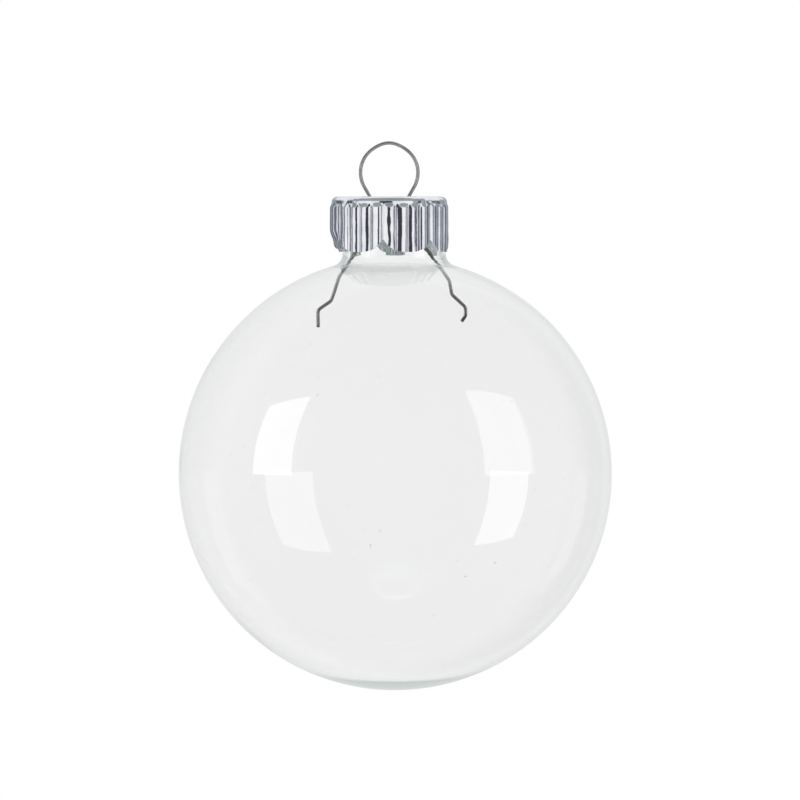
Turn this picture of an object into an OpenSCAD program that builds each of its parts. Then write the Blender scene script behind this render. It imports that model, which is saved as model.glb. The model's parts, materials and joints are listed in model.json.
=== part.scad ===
// Clear glass ball ornament: a blown ball with a neck, a crimped metal crown cap,
// and one spring wire whose loop hangs the ball and whose two crossed legs grip the neck.
// Millimetres, +Z up. The origin is the inner top of the loop, where a hook bears.

/* [Ball] */
// Outer diameter of the blown ball
ball_d = 80; // [60:1:100]
// Glass thickness around the ball
ball_wall = 0.5; // [0.4:0.05:0.6]
// Glass thickness at the bottom of the ball
base_wall = 0.8; // [0.75:0.05:1.2]
// Outer diameter of the neck
neck_d = 19; // [18.4:0.1:19]
// Glass thickness of the neck
neck_wall = 0.9; // [0.7:0.05:0.9]
// Length of the straight neck above its fillet
neck_l = 10.2; // [10:0.1:12]
// Radius of the outer fillet between neck and ball
neck_fillet = 2; // [1.5:0.1:2.5]
// Sideways offset of the neck in its loose cap
ball_shift = 0.7; // [0:0.05:0.7]

/* [Crown cap] */
// Diameter of the skirt between its flutes
skirt_d = 21.6; // [21.4:0.1:22]
// Height of the whole cap
cap_h = 10.2; // [9.6:0.1:10.4]
// Sheet thickness
sheet_t = 0.3; // [0.25:0.05:0.35]
// Radius of the rounded edge around the top
rim_r = 1.2; // [1:0.1:1.4]
// Radius of each flute's bead
flute_r = 0.7; // [0.6:0.05:0.75]
// How far the flutes stand out of the skirt
flute_rise = 0.2; // [0.15:0.01:0.22]
// Height of the plain collar between the rounded edge and the flutes
collar_h = 0.3; // [0.2:0.05:0.5]
// Number of scallops along the lower edge
lobes = 7; // [5:1:9]
// Flutes on each scallop
flutes_per_lobe = 4; // [3:1:4]
// Height of the notches between scallops
notch_h = 2.4; // [1.5:0.1:3]
// Turn of the scallops about the cap's axis, away from the wire holes
cap_turn = -19; // [-180:1:180]
// Diameter of the two wire holes
hole_d = 1.3; // [1.25:0.05:1.6]

/* [Hanger wire] */
// Wire diameter
wire_d = 0.6; // [0.5:0.02:0.6]
// Inside diameter of the loop
loop_id = 10; // [9.8:0.1:10.6]
// Arc of the loop before its ends run straight down
loop_arc = 240; // [236:1:246]
// Height from the cap's top to the inner top of the loop
loop_rise = 9.4; // [9.2:0.1:9.8]
// Bending radius of the legs
bend_r = 1.4; // [1:0.1:1.5]

/* [Clearances] */
// Gap between the neck's rim and the cap
rim_gap = 0.25; // [0.2:0.05:0.4]
// Gap between the two wires where they cross
cross_gap = 0.16; // [0.1:0.02:0.2]
// Gap between the loop's ends and the legs
leg_gap = 0.04; // [0.02:0.01:0.06]

/* [Hidden] */
$fn = 64;

// Ball and neck, heights above the ball's centre
ball_r = ball_d / 2;
inner_r = ball_r - ball_wall;
neck_r = neck_d / 2;
bore_r = neck_r - neck_wall;
inner_fillet = neck_fillet + neck_wall;
fillet_x = neck_r + neck_fillet;
fillet_z = sqrt(pow(ball_r + neck_fillet, 2) - pow(fillet_x, 2));
inner_fillet_z = sqrt(pow(inner_r + inner_fillet, 2) - pow(fillet_x, 2));
rim_z = fillet_z + neck_l;
// The base's inner face is flatter than the ball
base_r = ball_r * 1.2;
base_z = base_r - ball_r + base_wall;

// Cap
collar_lap = 0.05;
lobe_flat = 0.1;
skirt_r = skirt_d / 2;
flute_n = lobes * flutes_per_lobe;
flute_at = skirt_r + flute_rise - flute_r;
plate_r = skirt_r + flute_rise + collar_lap;
collar_t = flute_rise + sheet_t + 2 * collar_lap;
lobe_x = skirt_r * sin(180 / lobes);
lobe_r = (pow(lobe_x, 2) + pow(notch_h + lobe_flat, 2)) / (2 * (notch_h + lobe_flat));
notch_half_w = lobe_x - sqrt(2 * lobe_r * lobe_flat - pow(lobe_flat, 2)) / 2;

// Heights in the object's frame
cap_top_z = -loop_rise;
hole_z = cap_top_z - sheet_t / 2;
ball_z = cap_top_z - sheet_t - rim_gap - rim_z;

// Wire
wire_r = wire_d / 2;
loop_r = loop_id / 2 + wire_r;
loop_z = -loop_id / 2;
dip = (loop_arc - 180) / 2;
end_l = (loop_z - hole_z - loop_r * sin(dip)) / cos(dip);
hole_x = loop_r * cos(dip) - end_l * sin(dip);
splay = asin((wire_d + cross_gap) / (2 * hole_x));

// The loop's straight ends start inside its arc and are a little thinner than it
end_lap = 0.2;
end_step = 0.01;

wire_sides = 12;
bend_steps = 5;

// Corners of each leg's route: distance from the cap's axis, and height above the cap's top
left_route = [[-6.5, -10.4], [-9.3, -15], [-10.8, -19.3], [-13.2, -21], [-13.2, -24]];
right_route = [[7.8, -10.4], [11.2, -15.5], [11.6, -18], [14.2, -20.4], [14.2, -22], [13.5, -22.9]];

function heading(p, i) = atan2(p[i + 1][1] - p[i][1], p[i + 1][0] - p[i][0]);
function turn(p, i) = heading(p, i) - heading(p, i - 1);

// Points of the round bend at corner i, each as [x, y, heading]
function bend(p, i) =
    let (
        t = turn(p, i),
        back = bend_r * tan(abs(t) / 2),
        h = heading(p, i - 1),
        side = sign(t),
        cx = p[i][0] - back * cos(h) - side * bend_r * sin(h),
        cy = p[i][1] - back * sin(h) + side * bend_r * cos(h)
    )
    [
        for (k = [0 : bend_steps])
            let (a = h + t * k / bend_steps)
            [cx + side * bend_r * sin(a), cy - side * bend_r * cos(a), a]
    ];

// The route p in the XY plane with a round bend at each corner
function bent(p) =
    let (n = len(p) - 1)
    [
        [p[0][0], p[0][1], heading(p, 0)],
        for (i = [1 : n - 1]) each bend(p, i),
        [p[n][0], p[n][1], heading(p, n - 1)]
    ];

// A round wire along the stations s, each [x, y, heading]
module wire(s) {
    n = wire_sides;
    points = [
        for (q = s) for (j = [0 : n - 1])
            let (a = (j + 0.5) * 360 / n)
            [q[0] - wire_r * cos(a) * sin(q[2]), q[1] + wire_r * cos(a) * cos(q[2]), wire_r * sin(a)]
    ];
    sides = [
        for (i = [0 : len(s) - 2]) for (j = [0 : n - 1])
            let (k = (j + 1) % n)
            [i * n + j, i * n + n + j, i * n + n + k, i * n + k]
    ];
    first = [for (j = [0 : n - 1]) j];
    last = [for (j = [0 : n - 1]) len(s) * n - 1 - j];
    polyhedron(points, concat([first], sides, [last]));
}

// A leg that starts at the hole at x and crosses to the other side
module leg(x, route) {
    local = [for (q = route) [q[0] - x, q[1] + cap_top_z - hole_z]];
    color("silver") translate([x, 0, hole_z]) rotate([0, 0, splay]) rotate([90, 0, 0])
        wire(bent(concat([[0, 0]], local)));
}

module hanger_leg_left() {
    leg(hole_x, left_route);
}

module hanger_leg_right() {
    leg(-hole_x, right_route);
}

module hanger_loop() {
    color("silver") translate([0, 0, loop_z]) rotate([90, 0, 0]) {
        rotate([0, 0, -dip]) rotate_extrude(angle = loop_arc) translate([loop_r, 0]) circle(r = wire_r);
        for (side = [0, 1]) mirror([side, 0, 0]) rotate([0, 0, -dip]) translate([loop_r, end_lap, 0])
            rotate([90, 0, 0]) cylinder(r = wire_r - end_step, h = end_l - wire_r - leg_gap + end_lap);
    }
}

// Solid of revolution bounded by the ball, a neck and the fillet between them
module ball_and_neck(sphere_r, tube_r, tube_top, fillet, fillet_height) {
    intersection() {
        union() {
            circle(r = sphere_r);
            square([tube_r, tube_top]);
            difference() {
                polygon([[0, 0], [tube_r + fillet, fillet_height], [0, fillet_height]]);
                translate([tube_r + fillet, fillet_height]) circle(r = fillet);
            }
        }
        translate([0, -sphere_r]) square([sphere_r, sphere_r + tube_top]);
    }
}

module glass_ball() {
    color([0.82, 0.88, 0.88, 0.35]) translate([ball_shift, 0, ball_z]) rotate_extrude() {
        difference() {
            ball_and_neck(ball_r, neck_r, rim_z - neck_wall / 2, neck_fillet, fillet_z);
            intersection() {
                ball_and_neck(inner_r, bore_r, rim_z, inner_fillet, inner_fillet_z);
                union() {
                    translate([0, base_z]) circle(r = base_r);
                    square([bore_r, rim_z]);
                }
            }
        }
        translate([bore_r + neck_wall / 2, rim_z - neck_wall / 2]) circle(r = neck_wall / 2);
    }
}

// Top of the cap: a flat plate, a rounded edge and the collar that the skirt starts from
module cap_plate() {
    rotate_extrude() {
        translate([0, -sheet_t]) square([plate_r - rim_r, sheet_t]);
        translate([plate_r - rim_r, -rim_r]) intersection() {
            difference() {
                circle(r = rim_r);
                circle(r = rim_r - sheet_t);
            }
            square(rim_r);
        }
        translate([plate_r - collar_t, -rim_r - collar_h]) square([collar_t, collar_h]);
    }
}

// Outline of the fluted skirt, drawn in by inset
module fluted_outline(inset) {
    circle(r = skirt_r - inset);
    for (i = [0 : flute_n - 1]) rotate([0, 0, (i + 0.5) * 360 / flute_n]) translate([flute_at, 0])
        circle(r = flute_r - inset);
}

// Skirt from the lower edge up to the middle of the collar
module fluted_skirt() {
    translate([0, 0, -cap_h]) linear_extrude(cap_h - rim_r - collar_h / 2) difference() {
        fluted_outline(0);
        fluted_outline(sheet_t);
    }
}

// One notch of the lower edge, between the round ends of two scallops
module notch_outline() {
    difference() {
        translate([-notch_half_w, -notch_h]) square([2 * notch_half_w, 2 * notch_h]);
        for (side = [-1, 1]) translate([side * lobe_x, lobe_r - lobe_flat]) circle(r = lobe_r);
    }
}

module crown_cap() {
    color("lightgray") translate([0, 0, cap_top_z]) difference() {
        union() {
            cap_plate();
            rotate([0, 0, cap_turn]) fluted_skirt();
        }
        for (i = [0 : lobes - 1]) rotate([0, 0, (i + 0.5) * 360 / lobes + cap_turn])
            translate([0, 0, -cap_h]) rotate([90, 0, 90]) linear_extrude(2 * skirt_r) notch_outline();
        for (x = [-hole_x, hole_x]) translate([x, 0, -rim_r]) cylinder(d = hole_d, h = 2 * rim_r);
    }
}

glass_ball();
crown_cap();
hanger_loop();
hanger_leg_left();
hanger_leg_right();
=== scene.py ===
import json
import math
import random

import bmesh
import bpy
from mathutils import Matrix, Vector, geometry, noise


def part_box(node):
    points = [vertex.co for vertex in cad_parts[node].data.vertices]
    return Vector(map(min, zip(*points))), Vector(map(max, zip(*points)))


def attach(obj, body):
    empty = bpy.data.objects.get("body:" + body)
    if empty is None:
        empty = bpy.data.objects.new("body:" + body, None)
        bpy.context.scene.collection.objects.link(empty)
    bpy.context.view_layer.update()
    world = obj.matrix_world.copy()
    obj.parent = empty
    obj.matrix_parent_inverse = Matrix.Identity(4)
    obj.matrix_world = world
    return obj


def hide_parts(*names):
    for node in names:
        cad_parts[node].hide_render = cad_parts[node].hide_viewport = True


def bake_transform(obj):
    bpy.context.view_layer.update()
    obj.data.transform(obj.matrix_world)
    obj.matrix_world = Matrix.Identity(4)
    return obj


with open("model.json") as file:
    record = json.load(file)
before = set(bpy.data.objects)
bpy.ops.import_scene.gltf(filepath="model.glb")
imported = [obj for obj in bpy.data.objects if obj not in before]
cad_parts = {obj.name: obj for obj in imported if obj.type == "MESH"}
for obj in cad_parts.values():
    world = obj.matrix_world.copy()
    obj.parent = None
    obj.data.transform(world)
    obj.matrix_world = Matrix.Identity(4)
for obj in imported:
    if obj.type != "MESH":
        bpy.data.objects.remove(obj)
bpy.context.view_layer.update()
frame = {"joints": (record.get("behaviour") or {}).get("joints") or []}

MM = 0.001

# ---------------------------------------------------------------- places taken from the frame
ball_low, ball_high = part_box("glass_ball")
cap_low, cap_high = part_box("crown_cap")
joints = {j["name"]: j for j in frame["joints"]}

ball_r = round((ball_high.x - ball_low.x) / 2, 4)
ball_centre = Vector(((ball_low.x + ball_high.x) / 2, 0, ball_low.z + ball_r))
rim_z = ball_high.z - ball_centre.z
cap_top = cap_high.z
cap_height = cap_high.z - cap_low.z
# The legs cross, so the left leg comes through the right-hand hole
hole_right = Vector(joints["leg_left_flex"]["pos_m"])
hole_left = Vector(joints["leg_right_flex"]["pos_m"])
leg_axis = Vector(joints["leg_left_flex"]["axis"])

# ---------------------------------------------------------------- sizes, in metres
# Glass
NECK_R = 9.5 * MM
NECK_WALL = 0.9 * MM
NECK_FILLET = 2.0 * MM
BALL_WALL = 0.5 * MM
BASE_WALL = 0.8 * MM
# Radius of the base's inner face, in ball radii
BASE_FLATNESS = 1.2
# How gently the base's inner face runs into the wall, and the neck into the ball
BASE_SOFTNESS = 0.08 * MM
SOFT_LENGTH = 0.7 * MM
# How far the neck's rim and the ball stand to the right of the CAD ones
NECK_DRIFT = 0.05 * MM
BALL_DRIFT = 0.42 * MM
# Cap: the skirt at the flutes' middle level, and the flat top plate inside its rounded edge
CAP_R = 10.65 * MM
PLATE_R = 9.65 * MM
CAP_EDGE_R = 1.0 * MM
SHEET = 0.2 * MM
HOLE_R = 0.65 * MM
# How far the sheet strays from round, and the depth of its small dents and of its folds
OUT_OF_ROUND = 0.08 * MM
DENT = 0.05 * MM
FOLD = 0.08 * MM
# Crimps: small flutes, and the lobes of the lower edge with a notch between them
LOBES = 7
FLUTES = 28
FLUTE_HEIGHT = 0.46 * MM
NOTCH = 2.4 * MM
# How far round the cap the middle of one lobe is
CAP_TURN = math.radians(-19)
# Roundness of a crest, the share of a flute's height below the middle level, and the share of the
# skirt's height in which the flutes begin
CREST_ROUNDNESS = 2.4
FLUTE_SINK = 0.35
FLUTE_START = 0.13
# The lobe that is pressed in: where it is round the cap, half its width, its top and its depth
FLAP_AT = math.radians(186)
FLAP_HALF = math.radians(27)
FLAP_TOP = -6.3 * MM
FLAP_DEPTH = 1.75 * MM
# Wire
WIRE_R = 0.32 * MM
LOOP_R = 5.3 * MM
LOOP_ARC = math.radians(240)
LEG_BEND_R = 1.2 * MM
# Corners of the legs, in millimetres from the cap's axis and above the cap's top
LEFT_ROUTE = [(-6.5, -10.4), (-9.3, -15.0), (-10.8, -19.3), (-13.2, -21.0), (-13.2, -24.0)]
RIGHT_ROUTE = [(7.8, -10.4), (11.2, -15.5), (11.6, -18.0), (14.2, -20.4), (14.2, -22.0), (13.5, -22.9)]

# ---------------------------------------------------------------- mesh fineness
BALL_STEPS = 170
BALL_COLUMNS = 224
FILLET_STEPS = 20
NECK_STEPS = 24
LIP_STEPS = 14
COLUMNS_PER_FLUTE = 20
EDGE_ROWS = 10
SKIRT_ROWS = 64
HOLE_SIDES = 40
PLATE_STEP = 0.45 * MM
LOOP_STEPS = 160
LOOP_SPACING = 0.2 * MM
LEG_SPACING = 0.25 * MM
# Points closer than this are one point
SAME_POINT = 1e-6
# Folds steeper than these are shaded as sharp edges
SHARP_IN_CAP = math.radians(50)
SHARP_IN_WIRE = math.radians(60)


# ---------------------------------------------------------------- shader nodes
def new_material(name):
    material = bpy.data.materials.new(name)
    material.use_nodes = True
    tree = material.node_tree
    return material, tree, tree.nodes["Principled BSDF"]


def noise_node(tree, scale, detail):
    """Noise over the surface itself; scale is in waves to each metre."""
    node = tree.nodes.new("ShaderNodeTexNoise")
    node.inputs["Scale"].default_value = scale
    node.inputs["Detail"].default_value = detail
    place = tree.nodes.new("ShaderNodeTexCoord").outputs["Object"]
    tree.links.new(place, node.inputs["Vector"])
    return node.outputs["Fac"]


def ramp_node(tree, value, stops):
    node = tree.nodes.new("ShaderNodeValToRGB")
    ramp = node.color_ramp
    while len(ramp.elements) < len(stops):
        ramp.elements.new(0.5)
    for element, (place, colour) in zip(ramp.elements, stops):
        element.position = place
        element.color = (*colour, 1)
    tree.links.new(value, node.inputs["Fac"])
    return node.outputs["Color"]


def map_node(tree, value, low, high, from_low, from_high):
    node = tree.nodes.new("ShaderNodeMapRange")
    node.inputs["From Min"].default_value = from_low
    node.inputs["From Max"].default_value = from_high
    node.inputs["To Min"].default_value = low
    node.inputs["To Max"].default_value = high
    tree.links.new(value, node.inputs["Value"])
    return node.outputs["Result"]


def math_node(tree, operation, first, second):
    node = tree.nodes.new("ShaderNodeMath")
    node.operation = operation
    for socket, value in zip(node.inputs, (first, second)):
        if isinstance(value, (int, float)):
            socket.default_value = value
        else:
            tree.links.new(value, socket)
    return node.outputs[0]


def bump_node(tree, height, distance):
    node = tree.nodes.new("ShaderNodeBump")
    node.inputs["Distance"].default_value = distance
    node.inputs["Strength"].default_value = 1.0
    tree.links.new(height, node.inputs["Height"])
    return node.outputs["Normal"]


def mix_shaders(tree, factor, first, second):
    mix = tree.nodes.new("ShaderNodeMixShader")
    tree.links.new(factor, mix.inputs["Fac"])
    tree.links.new(first, mix.inputs[1])
    tree.links.new(second, mix.inputs[2])
    return mix.outputs[0]


def mirrored(tree):
    """1 for what is seen as a reflection."""
    depth = tree.nodes.new("ShaderNodeLightPath").outputs["Glossy Depth"]
    return math_node(tree, "GREATER_THAN", depth, 0.5)


def mirrored_by_metal(tree):
    """1 for what is seen as a reflection in metal, whose roughness blurs it a little."""
    sharp = tree.nodes.new("ShaderNodeLightPath").outputs["Is Singular Ray"]
    return math_node(tree, "GREATER_THAN", math_node(tree, "SUBTRACT", mirrored(tree), sharp), 0.5)


# ---------------------------------------------------------------- materials
# The light that a path is given where it ends inside the glass, and the number of mirrorings, or of
# turns of any kind, after which a render ends it
TRAPPED_LIGHT = 0.55
MOST_MIRRORINGS = 5
MOST_TURNS = 13


def pale_when_trapped(material, shader, colour):
    """A path that ends because it has turned too often gives pale light, and not black."""
    tree = material.node_tree
    path = tree.nodes.new("ShaderNodeLightPath").outputs
    mirrorings = math_node(tree, "SUBTRACT", path["Glossy Depth"], MOST_MIRRORINGS - 1)
    turns = math_node(tree, "SUBTRACT", path["Ray Depth"], MOST_TURNS - 1)
    last = math_node(tree, "MAXIMUM", mirrorings, turns)
    strength = map_node(tree, last, 0.0, TRAPPED_LIGHT, 0.4, 0.6)
    tree.links.new(strength, shader.inputs["Emission Strength"])
    shader.inputs["Emission Color"].default_value = (*colour, 1)
    material.cycles.emission_sampling = "NONE"


def glass_material():
    """Clear soda glass: almost colourless, with a few faint specks of dust."""
    material, tree, shader = new_material("clear_glass")
    shader.inputs["Transmission Weight"].default_value = 1.0
    shader.inputs["IOR"].default_value = 1.5
    shader.inputs["Roughness"].default_value = 0.0
    specks = noise_node(tree, scale=1500, detail=2)
    stops = [(0.0, (1, 1, 1)), (0.745, (0.998, 1, 0.999)), (0.775, (0.5, 0.52, 0.52))]
    tree.links.new(ramp_node(tree, specks, stops), shader.inputs["Base Color"])
    pale_when_trapped(material, shader, (0.9, 1.0, 0.96))
    return material


def bright_metal(name, stops, patches, gloss, roughness, grain, bump):
    """Metal whose colour, gloss and surface vary; patches, gloss and grain are a noise's scale and
    detail, roughness is its lowest and highest value, and bump is the grain's depth."""
    material, tree, shader = new_material(name)
    shader.inputs["Metallic"].default_value = 1.0
    colour = ramp_node(tree, noise_node(tree, *patches), stops)
    tree.links.new(colour, shader.inputs["Base Color"])
    rough = map_node(tree, noise_node(tree, *gloss), *roughness, 0.3, 0.75)
    tree.links.new(rough, shader.inputs["Roughness"])
    tree.links.new(bump_node(tree, noise_node(tree, *grain), bump), shader.inputs["Normal"])
    return material, shader


def cap_material():
    """Thin bright metal sheet with a slightly blue sheen and fine drawing marks."""
    stops = [(0.3, (0.72, 0.74, 0.79)), (0.55, (0.86, 0.87, 0.89)), (0.75, (0.92, 0.92, 0.93))]
    material, shader = bright_metal(
        "cap_metal",
        stops,
        patches=(350, 4),
        gloss=(900, 5),
        roughness=(0.04, 0.12),
        grain=(2500, 3),
        bump=0.01 * MM,
    )
    pale_when_trapped(material, shader, (1.0, 1.0, 1.0))
    return material


def wire_material():
    """Bright drawn spring wire."""
    stops = [(0.3, (0.40, 0.40, 0.39)), (0.7, (0.56, 0.56, 0.55))]
    material, shader = bright_metal(
        "wire_metal",
        stops,
        patches=(700, 4),
        gloss=(700, 4),
        roughness=(0.05, 0.14),
        grain=(4000, 2),
        bump=0.005 * MM,
    )
    shader.inputs["Specular Tint"].default_value = (0.2, 0.2, 0.21, 1)
    return material


# ---------------------------------------------------------------- mesh helpers
def make_object(name, points, faces, material):
    mesh = bpy.data.meshes.new(name)
    mesh.from_pydata([tuple(p) for p in points], [], faces)
    mesh.validate()
    mesh.materials.append(material)
    obj = bpy.data.objects.new(name, mesh)
    bpy.context.scene.collection.objects.link(obj)
    shade_smooth(obj)
    return obj


def shade_smooth(obj):
    for polygon in obj.data.polygons:
        polygon.use_smooth = True


def apply_modifiers(obj):
    graph = bpy.context.evaluated_depsgraph_get()
    mesh = bpy.data.meshes.new_from_object(obj.evaluated_get(graph))
    obj.modifiers.clear()
    obj.data = mesh


def arc(cx, cz, radius, start, end, steps):
    """Points of an arc in the (radius, height) plane, angles in radians."""
    angles = [start + (end - start) * i / steps for i in range(steps + 1)]
    return [(cx + radius * math.cos(a), cz + radius * math.sin(a)) for a in angles]


def round_angles(count):
    return [2 * math.pi * i / count for i in range(count)]


def ring_faces(rings, columns):
    """Faces between closed rings of points that follow each other."""
    faces = []
    for i in range(rings - 1):
        for j in range(columns):
            k = (j + 1) % columns
            faces.append((i * columns + j, i * columns + k, (i + 1) * columns + k, (i + 1) * columns + j))
    return faces


def revolve(points, columns, centre, shift):
    """A closed surface of revolution from a profile that starts and ends on the axis; shift moves a
    point of the true shape to its place in the uneven one."""
    verts = []
    rows = points[1:-1]
    for r, z in rows:
        verts += [shift(Vector((r * math.cos(a), r * math.sin(a), z))) for a in round_angles(columns)]
    faces = ring_faces(len(rows), columns)
    first = len(verts)
    verts += [Vector((0, 0, points[0][1])), Vector((0, 0, points[-1][1]))]
    last = (len(rows) - 1) * columns
    for j in range(columns):
        k = (j + 1) % columns
        faces.append((first, k, j))
        faces.append((first + 1, last + j, last + k))
    return [v + centre for v in verts], faces


def smooth_step(t):
    t = min(1, max(0, t))
    return t * t * (3 - 2 * t)


# ---------------------------------------------------------------- glass ball
def inner_radius(angle):
    """Distance from the ball's centre to its inner wall, at an angle from straight down."""
    wall = ball_r - BALL_WALL
    base = BASE_FLATNESS * ball_r
    centre = base - ball_r + BASE_WALL
    flat = math.sqrt(base**2 - (centre * math.sin(angle)) ** 2) - centre * math.cos(angle)
    gap = (wall - flat) / BASE_SOFTNESS
    if gap < -30:  # far above the base, where only the wall counts
        return wall
    return wall - BASE_SOFTNESS * math.log(1 + math.exp(gap))


def glass_profile():
    """From the outside of the base, up the neck and over the rim, down to the inside of the base."""
    fillet_x = NECK_R + NECK_FILLET
    outer_z = math.sqrt((ball_r + NECK_FILLET) ** 2 - fillet_x**2)
    inner_r = ball_r - BALL_WALL
    bore_r = NECK_R - NECK_WALL
    inner_fillet = NECK_FILLET + NECK_WALL
    inner_z = math.sqrt((inner_r + inner_fillet) ** 2 - fillet_x**2)
    outer_turn = math.atan2(outer_z, fillet_x)
    inner_turn = math.atan2(inner_z, fillet_x)
    lip = NECK_WALL / 2
    lip_z = rim_z - lip
    up_the_neck = [i / NECK_STEPS for i in range(1, NECK_STEPS)]
    points = arc(0, 0, ball_r, -math.pi / 2, outer_turn, BALL_STEPS)
    points += arc(fillet_x, outer_z, NECK_FILLET, math.pi + outer_turn, math.pi, FILLET_STEPS)[1:]
    points += [(NECK_R, outer_z + (lip_z - outer_z) * t) for t in up_the_neck]
    points += arc(NECK_R - lip, lip_z, lip, 0, math.pi, LIP_STEPS)
    points += [(bore_r, lip_z + (inner_z - lip_z) * t) for t in up_the_neck]
    points += arc(fillet_x, inner_z, inner_fillet, math.pi, math.pi + inner_turn, FILLET_STEPS)
    for i in range(1, BALL_STEPS + 1):
        angle = (math.pi / 2 + inner_turn) * (1 - i / BALL_STEPS)
        r = inner_radius(angle)
        points.append((r * math.sin(angle), -r * math.cos(angle)))
    points[0] = (0, points[0][1])
    points[-1] = (0, points[-1][1])
    return flowing(points, outer_z, SOFT_LENGTH)


def flowing(points, height, reach):
    """The profile with its joins near a height drawn out, as softened glass flows: each point moves to
    the weighted middle of its stretch of the profile."""
    neighbours = 40
    soft = list(points)
    for i, (r, z) in enumerate(points):
        nearness = 1 - min(1, abs(z - height) / (4 * reach))
        if nearness <= 0 or r > 0.5 * ball_r:
            continue
        total = x = y = 0
        for j in range(max(1, i - neighbours), min(len(points) - 1, i + neighbours + 1)):
            q = points[j]
            squared = (q[0] - r) ** 2 + (q[1] - z) ** 2
            if squared < (3 * reach) ** 2:
                pull = math.exp(-squared / (2 * reach**2)) * math.dist(points[j - 1], points[j + 1])
                total += pull
                x += pull * q[0]
                y += pull * q[1]
        blend = min(1, 2 * nearness)
        soft[i] = (r + (x / total - r) * blend, z + (y / total - z) * blend)
    return soft


def waves(p, scale, height, start=(0, 0, 0)):
    """Smooth unevenness, with a scale in waves to each metre and a height in millimetres."""
    return noise.noise(p * scale + Vector(start)) * height


def blown_shape(p):
    """The slight unevenness of blown glass, none at the neck's rim, and a neck that isn't quite central."""
    level = 1 - min(1, max(0, (p.z - 0.85 * ball_r) / (0.15 * ball_r)))
    drift = NECK_DRIFT + (BALL_DRIFT - NECK_DRIFT) * smooth_step((rim_z - p.z) / (0.6 * ball_r))
    inside = p.length < ball_r - 0.6 * BALL_WALL
    if inside:
        swell = waves(p, 34, 0.07, (9, 4, 2)) + waves(p, 120, 0.012, (5, 5, 5))
    else:
        swell = waves(p, 28, 0.05, (3, 1, 7)) + waves(p, 90, 0.008)
    return p + p.normalized() * swell * MM * level + Vector((drift, 0, 0))


def make_ball():
    points, faces = revolve(glass_profile(), BALL_COLUMNS, ball_centre, blown_shape)
    ball = make_object("blown_glass_ball", points, faces, glass_material())
    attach(ball, "ball")
    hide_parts("glass_ball")
    return ball


# ---------------------------------------------------------------- crown cap
def flute_table():
    """One set of small irregularities for each flute."""
    pick = random.Random(11)
    return [
        {
            "height": pick.uniform(0.8, 1.15),
            "skew": pick.uniform(-0.14, 0.14),
            "lean": pick.uniform(-0.06, 0.06),
            "crumple": pick.choice([0.3, 0.3, 0.6, 1.0, 2.0]),
        }
        for _ in range(FLUTES)
    ]


FLUTE_TABLE = flute_table()


def flute_at(angle):
    """The flute at an angle round the cap, and the place across it from 0 to 1."""
    turn = (angle - CAP_TURN) / (2 * math.pi) * FLUTES
    return FLUTE_TABLE[int(math.floor(turn)) % FLUTES], turn - math.floor(turn)


def flute_offset(angle, down):
    """How far the crimped sheet stands out from the skirt's middle level, at an angle round the cap;
    down is 0 at the flutes' top and 1 at the lower edge."""
    flute, place = flute_at(angle)
    crest = 0.5 + flute["skew"] + flute["lean"] * (down - 0.5)
    slope = place / crest if place < crest else (1 - place) / (1 - crest)
    ridge = 1 - (1 - slope) ** CREST_ROUNDNESS - FLUTE_SINK
    start = smooth_step(down / FLUTE_START)
    return ridge * FLUTE_HEIGHT * flute["height"] * start


def sheet_noise(p, across, along, start=0):
    """Noise drawn out down the skirt, its two scales in waves to each metre."""
    return noise.noise(Vector((p.x * across, p.y * across, p.z * along + start)))


def crumple(p, angle, down):
    """Small dents in each flute, and folds that run on through the thin sheet."""
    flute, place = flute_at(angle)
    strength = flute["crumple"] * math.sin(math.pi * place)
    dents = DENT * sheet_noise(p, 900, 500) * strength
    folds = FOLD * sheet_noise(p, 350, 300, 4)
    return (dents + folds) * min(1, 0.2 + down)


def flap(angle, z):
    """One lobe of the lower edge is pressed in against the neck."""
    off_centre = math.remainder(angle - FLAP_AT, 2 * math.pi) / FLAP_HALF
    across = smooth_step(1.6 * (1 - abs(off_centre)))
    down = max(0, (FLAP_TOP - z) / (FLAP_TOP + cap_height))
    return -FLAP_DEPTH * across * down**1.3


def lower_edge(angle):
    """Height of the scalloped lower edge above the lowest point of the cap."""
    turn = ((angle - CAP_TURN) / (2 * math.pi) * LOBES) % 1
    across = 2 * min(turn, 1 - turn)
    return NOTCH * across**3


def plate_points(ring):
    """Top plate as a flat sheet with two round wire holes, as vertices and faces, bounded by ring."""
    points = [Vector((p.x, p.y)) for p in ring]
    count = len(points)
    edges = [(i, (i + 1) % count) for i in range(count)]
    holes = [Vector((hole.x, hole.y)) for hole in (hole_right, hole_left)]
    for hole in holes:
        first = len(points)
        for a in round_angles(HOLE_SIDES):
            points.append(Vector((hole.x + HOLE_R * math.cos(a), hole.y + HOLE_R * math.sin(a))))
        edges += [(first + k, first + (k + 1) % HOLE_SIDES) for k in range(HOLE_SIDES)]
    cells = int(PLATE_R / PLATE_STEP) + 1
    row_height = 0.87
    for i in range(-cells, cells + 1):
        for j in range(-cells, cells + 1):
            q = Vector(((i + 0.5 * (j % 2)) * PLATE_STEP, j * PLATE_STEP * row_height))
            clear = all((q - hole).length > HOLE_R + 0.25 * PLATE_STEP for hole in holes)
            if q.length < PLATE_R - 0.4 * PLATE_STEP and clear:
                points.append(q)
    verts, _, faces, _, _, _ = geometry.delaunay_2d_cdt(points, edges, [], 0, 0.1 * SAME_POINT)
    kept = []
    for f in faces:
        middle = sum((verts[i] for i in f), Vector((0, 0))) / len(f)
        if all((middle - hole).length > HOLE_R * 0.99 for hole in holes):
            kept.append(tuple(f))
    return verts, kept


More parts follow.
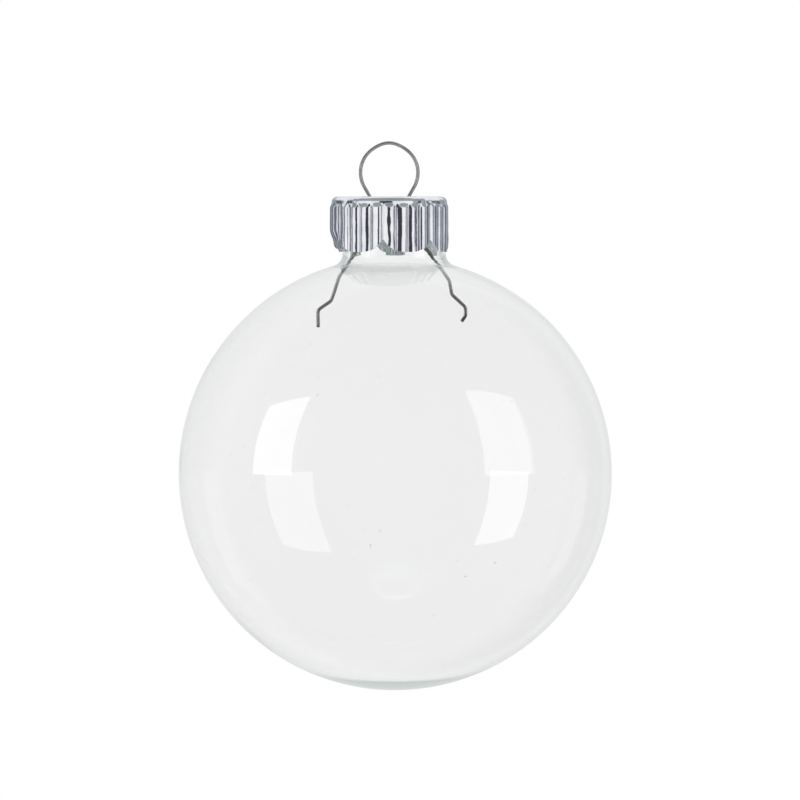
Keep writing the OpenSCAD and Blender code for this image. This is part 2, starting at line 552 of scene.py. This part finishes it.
def cap_sheet():
    """The cap's outer face with its top at height 0, as vertices and faces: rounded edge, skirt, plate."""
    columns = FLUTES * COLUMNS_PER_FLUTE
    verts = []
    for i in range(EDGE_ROWS + 1):
        a = math.pi / 2 * i / EDGE_ROWS
        for t in round_angles(columns):
            outward = Vector((math.cos(t), math.sin(t), 0))
            bulge = noise.noise(outward * 9) * OUT_OF_ROUND * math.sin(a)
            r = PLATE_R + CAP_EDGE_R * math.sin(a)
            z = -CAP_EDGE_R * (1 - math.cos(a))
            verts.append(outward * (r + bulge) + Vector((0, 0, z)))
    for i in range(1, SKIRT_ROWS + 1):
        down = i / SKIRT_ROWS
        for t in round_angles(columns):
            low = -cap_height + lower_edge(t)
            z = -CAP_EDGE_R + (low + CAP_EDGE_R) * down
            outward = Vector((math.cos(t), math.sin(t), 0))
            bulge = noise.noise(outward * 9) * OUT_OF_ROUND
            r = CAP_R + bulge + flute_offset(t, down) + flap(t, z)
            q = outward * r + Vector((0, 0, z))
            verts.append(outward * (r + crumple(q, t, down)) + Vector((0, 0, z)))
    faces = [(a, d, c, b) for a, b, c, d in ring_faces(EDGE_ROWS + SKIRT_ROWS + 1, columns)]
    plate, plate_faces = plate_points(verts[:columns])
    first = len(verts)
    verts += [Vector((p.x, p.y, 0)) for p in plate]
    faces += [tuple(first + i for i in f) for f in plate_faces]
    return verts, faces


def make_cap():
    verts, faces = cap_sheet()
    place = Vector((0, 0, cap_top))
    cap = make_object("crimped_cap", [v + place for v in verts], faces, cap_material())
    welder = bmesh.new()
    welder.from_mesh(cap.data)
    bmesh.ops.remove_doubles(welder, verts=welder.verts, dist=SAME_POINT)
    bmesh.ops.recalc_face_normals(welder, faces=welder.faces)
    welder.to_mesh(cap.data)
    welder.free()
    thick = cap.modifiers.new("thickness", "SOLIDIFY")
    thick.thickness = SHEET
    thick.offset = -1
    apply_modifiers(cap)
    shade_smooth(cap)
    cap.data.set_sharp_from_angle(angle=SHARP_IN_CAP)
    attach(cap, "cap")
    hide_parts("crown_cap")


# ---------------------------------------------------------------- hanger wire
def tube(name, path, radius, material, sides=20):
    """A round wire along a list of points, its ends closed by small domes."""
    rings = []
    up = None
    for i, p in enumerate(path):
        ahead = path[min(i + 1, len(path) - 1)] - path[max(i - 1, 0)]
        ahead.normalize()
        if up is None:
            up = ahead.orthogonal().normalized()
        up = (up - ahead * up.dot(ahead)).normalized()
        rings.append((p, ahead, up, radius))
    rings = dome(rings[0], -1) + rings + dome(rings[-1], 1)[::-1]
    verts = []
    for p, ahead, up, r in rings:
        across = ahead.cross(up)
        verts += [p + (up * math.cos(a) + across * math.sin(a)) * r for a in round_angles(sides)]
    faces = ring_faces(len(rings), sides)
    faces.append(tuple(reversed(range(sides))))
    faces.append(tuple(range((len(rings) - 1) * sides, len(rings) * sides)))
    wire = make_object(name, verts, faces, material)
    wire.data.set_sharp_from_angle(angle=SHARP_IN_WIRE)
    return wire


def dome(ring, outward):
    """Two smaller rings beyond an end ring, the outer one first; outward is 1 along the wire or -1."""
    p, ahead, up, radius = ring
    bluntness = 0.25
    sizes_and_lifts = [(0.55, 1.0), (0.9, 0.55)]
    return [
        (p + ahead * outward * radius * bluntness * lift, ahead, up, radius * size)
        for size, lift in sizes_and_lifts
    ]


def closely_spaced(points, spacing):
    """The same route with its straight runs in short steps."""
    path = [points[0]]
    for p, q in zip(points, points[1:]):
        parts = max(1, round((q - p).length / spacing))
        path += [p.lerp(q, i / parts) for i in range(1, parts + 1)]
    return path


def rounded(points, radius, steps=10):
    """A route with a round bend at each inner corner."""
    bends = [points[0]]
    for before, corner, after in zip(points, points[1:], points[2:]):
        a = (before - corner).normalized()
        b = (after - corner).normalized()
        back = radius / math.tan(a.angle(b) / 2)
        back = min(back, 0.48 * (before - corner).length, 0.48 * (after - corner).length)
        start = corner + a * back
        end = corner + b * back
        for i in range(steps + 1):
            t = i / steps
            bends.append(start * (1 - t) ** 2 + corner * 2 * t * (1 - t) + end * t**2)
    bends.append(points[-1])
    return bends


def loop_shape(a):
    """The loop's radius at an angle, as a share of LOOP_R: a little uneven, with a slight point on top."""
    oval = 0.012 * math.cos(2 * a + 0.4) * math.sin(a) ** 2
    three_sided = 0.004 * math.sin(3 * a)
    point = 0.055 * math.exp(-((a - math.pi / 2) / 0.42) ** 2)
    return 1 + oval + three_sided + point


def make_loop(material):
    centre = Vector((0, 0, -(LOOP_R - WIRE_R)))
    dip = (LOOP_ARC - math.pi) / 2
    path = [hole_right]
    for i in range(LOOP_STEPS + 1):
        a = -dip + LOOP_ARC * i / LOOP_STEPS
        path.append(centre + Vector((math.cos(a), 0, math.sin(a))) * LOOP_R * loop_shape(a))
    path.append(hole_left)
    loop = tube("wire_loop", closely_spaced(path, LOOP_SPACING), WIRE_R, material)
    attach(loop, "hanger")
    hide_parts("hanger_loop")


def make_leg(name, hole, route, node, material):
    """A leg lies in the plane through its hole that its joint turns it in."""
    along = leg_axis.cross(Vector((0, 0, 1)))
    along = along if along.x > 0 else -along
    corners = [hole]
    for x, z in route:
        corners.append(hole + along * (x * MM - hole.x) + Vector((0, 0, cap_top + z * MM - hole.z)))
    path = closely_spaced(rounded(corners, LEG_BEND_R), LEG_SPACING)
    leg = tube(name, path, WIRE_R, material)
    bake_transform(leg)
    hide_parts(node)


# ---------------------------------------------------------------- stage, lights and camera
FLOOR_HALF = 4.0
FLOOR_BELOW_BALL = 0.3
CAMERA_DISTANCE = 1.5
CAMERA_ELEVATION = math.radians(1.0)
VIEW_WIDTH = 147.8 * MM
# What the camera looks at, from the ball's centre
VIEW_CENTRE = Vector((1.29 * MM, 0, 13.6 * MM))


def make_floor():
    """A pale floor, brought up to the white of the surroundings, that isn't seen in reflections."""
    material, tree, shader = new_material("pale_floor")
    shader.inputs["Base Color"].default_value = (0.92, 0.92, 0.92, 1)
    shader.inputs["Roughness"].default_value = 1.0
    shader.inputs["Specular IOR Level"].default_value = 0.0
    shader.inputs["Emission Color"].default_value = (1, 1, 1, 1)
    shader.inputs["Emission Strength"].default_value = 0.085
    clear = tree.nodes.new("ShaderNodeBsdfTransparent").outputs[0]
    seen = mix_shaders(tree, mirrored(tree), shader.outputs[0], clear)
    tree.links.new(seen, tree.nodes["Material Output"].inputs["Surface"])
    z = ball_centre.z - FLOOR_BELOW_BALL
    corners = [(-1, -1), (1, -1), (1, 1), (-1, 1)]
    points = [(x * FLOOR_HALF, y * FLOOR_HALF, z) for x, y in corners]
    floor = make_object("floor", points, [(0, 1, 2, 3)], material)


def background(tree, colour):
    node = tree.nodes.new("ShaderNodeBackground")
    if isinstance(colour, tuple):
        node.inputs["Color"].default_value = (*colour, 1)
    else:
        tree.links.new(colour, node.inputs["Color"])
    return node.outputs[0]


def glass_studio(tree, behind, x, z):
    """What glass mirrors: dark round the camera, and light behind the object and to its left."""
    left = math_node(tree, "MULTIPLY", x, -0.2)
    up = math_node(tree, "MULTIPLY", z, 0.04)
    place = math_node(tree, "ADD", math_node(tree, "ADD", behind, left), up)
    greys = [
        (0.25, 0.02),
        (0.5, 0.15),
        (0.64, 0.32),
        (0.72, 0.45),
        (0.77, 0.55),
        (0.84, 0.76),
        (0.92, 0.81),
        (1.0, 0.82),
    ]
    return ramp_node(tree, place, [(at, (grey, grey, grey * 1.01)) for at, grey in greys])


def metal_studio(tree, behind, x, z):
    """What metal mirrors: upright bands of light and dark all round, a little off centre, and
    higher up a grey front and a light back."""
    place = math_node(tree, "ADD", behind, math_node(tree, "MULTIPLY", x, 0.08))
    bands = [
        (0.012, (0.05, 0.05, 0.07)),
        (0.028, (0.98, 0.98, 0.98)),
        (0.215, (1.0, 1.0, 1.0)),
        (0.245, (0.80, 0.80, 0.86)),
        (0.27, (0.38, 0.38, 0.48)),
        (0.34, (0.48, 0.48, 0.58)),
        (0.37, (0.05, 0.06, 0.09)),
        (0.42, (0.04, 0.05, 0.07)),
        (0.46, (0.85, 0.85, 0.88)),
        (0.53, (0.80, 0.80, 0.84)),
        (0.60, (0.16, 0.18, 0.22)),
        (0.70, (0.10, 0.12, 0.15)),
        (0.84, (0.28, 0.31, 0.35)),
        (1.0, (0.45, 0.48, 0.50)),
    ]
    higher = [(0.47, (0.33, 0.36, 0.37)), (0.56, (0.92, 0.93, 0.94))]
    mix = tree.nodes.new("ShaderNodeMix")
    mix.data_type = "RGBA"
    tree.links.new(map_node(tree, z, 0.0, 1.0, 0.2, 0.4), mix.inputs["Factor"])
    tree.links.new(ramp_node(tree, place, bands), mix.inputs["A"])
    tree.links.new(ramp_node(tree, behind, higher), mix.inputs["B"])
    return mix.outputs["Result"]


def make_world():
    """White surroundings. Glass and metal each mirror a studio of their own instead."""
    world = bpy.data.worlds.new("studio")
    bpy.context.scene.world = world
    world.use_nodes = True
    tree = world.node_tree
    coordinates = tree.nodes.new("ShaderNodeTexCoord")
    split = tree.nodes.new("ShaderNodeSeparateXYZ")
    tree.links.new(coordinates.outputs["Generated"], split.inputs[0])
    x, y, z = split.outputs
    behind = map_node(tree, y, 0.0, 1.0, -1.0, 1.0)  # 0 towards the camera, 1 away from it
    white = background(tree, (1.0, 1.0, 1.0))
    in_glass = background(tree, glass_studio(tree, behind, x, z))
    in_metal = background(tree, metal_studio(tree, behind, x, z))
    seen = mix_shaders(tree, mirrored(tree), white, in_glass)
    seen = mix_shaders(tree, mirrored_by_metal(tree), seen, in_metal)
    tree.links.new(seen, tree.nodes["World Output"].inputs["Surface"])


def beside(azimuth, distance):
    """A place at the ball's level; the azimuth is in degrees from the camera's side."""
    a = math.radians(azimuth)
    return ball_centre + Vector((math.sin(a), -math.cos(a), 0)) * distance


def softbox(name, near_edge, far_edge, height, radiance, lit):
    """An upright rectangular light, its lower side level with the ball's centre. An edge is given by
    its azimuth and its distance, and lit is the collection that it lights."""
    start = beside(*near_edge)
    end = beside(*far_edge)
    width = (end - start).length
    middle = (start + end) / 2
    away = (end - start).cross(Vector((0, 0, 1)))
    if away.dot(middle - ball_centre) < 0:
        away.negate()
    light = bpy.data.lights.new(name, "AREA")
    light.shape = "RECTANGLE"
    light.size = width
    light.size_y = height
    light.energy = math.pi * radiance * width * height
    obj = bpy.data.objects.new(name, light)
    obj.location = middle + Vector((0, 0, height / 2))
    obj.rotation_euler = away.to_track_quat("Z", "Y").to_euler()
    obj.light_linking.receiver_collection = lit
    bpy.context.scene.collection.objects.link(obj)


def make_softboxes(glass):
    """A broad light on each side. They light the glass only."""
    lit = bpy.data.collections.new("lit_by_softboxes")
    lit.objects.link(glass)
    softbox("key_left", (-55, 0.70), (-80, 0.99), height=0.53, radiance=1.6, lit=lit)
    softbox("fill_right", (47, 0.70), (77.5, 1.0), height=0.63, radiance=1.05, lit=lit)


def make_camera():
    target = ball_centre + VIEW_CENTRE
    camera = bpy.data.cameras.new("camera")
    camera.sensor_width = 36
    camera.lens = camera.sensor_width * CAMERA_DISTANCE / VIEW_WIDTH
    camera.clip_start = 0.01
    camera.clip_end = 50
    obj = bpy.data.objects.new("camera", camera)
    away = Vector((0, -math.cos(CAMERA_ELEVATION), math.sin(CAMERA_ELEVATION)))
    obj.location = target + away * CAMERA_DISTANCE
    obj.rotation_euler = away.to_track_quat("Z", "Y").to_euler()
    bpy.context.scene.collection.objects.link(obj)
    bpy.context.scene.camera = obj


ball = make_ball()
make_cap()
wire = wire_material()
make_loop(wire)
make_leg("wire_leg_left", hole_right, LEFT_ROUTE, "hanger_leg_left", wire)
make_leg("wire_leg_right", hole_left, RIGHT_ROUTE, "hanger_leg_right", wire)

make_floor()
make_world()
make_softboxes(ball)
make_camera()
bpy.context.scene.view_settings.view_transform = "Standard"
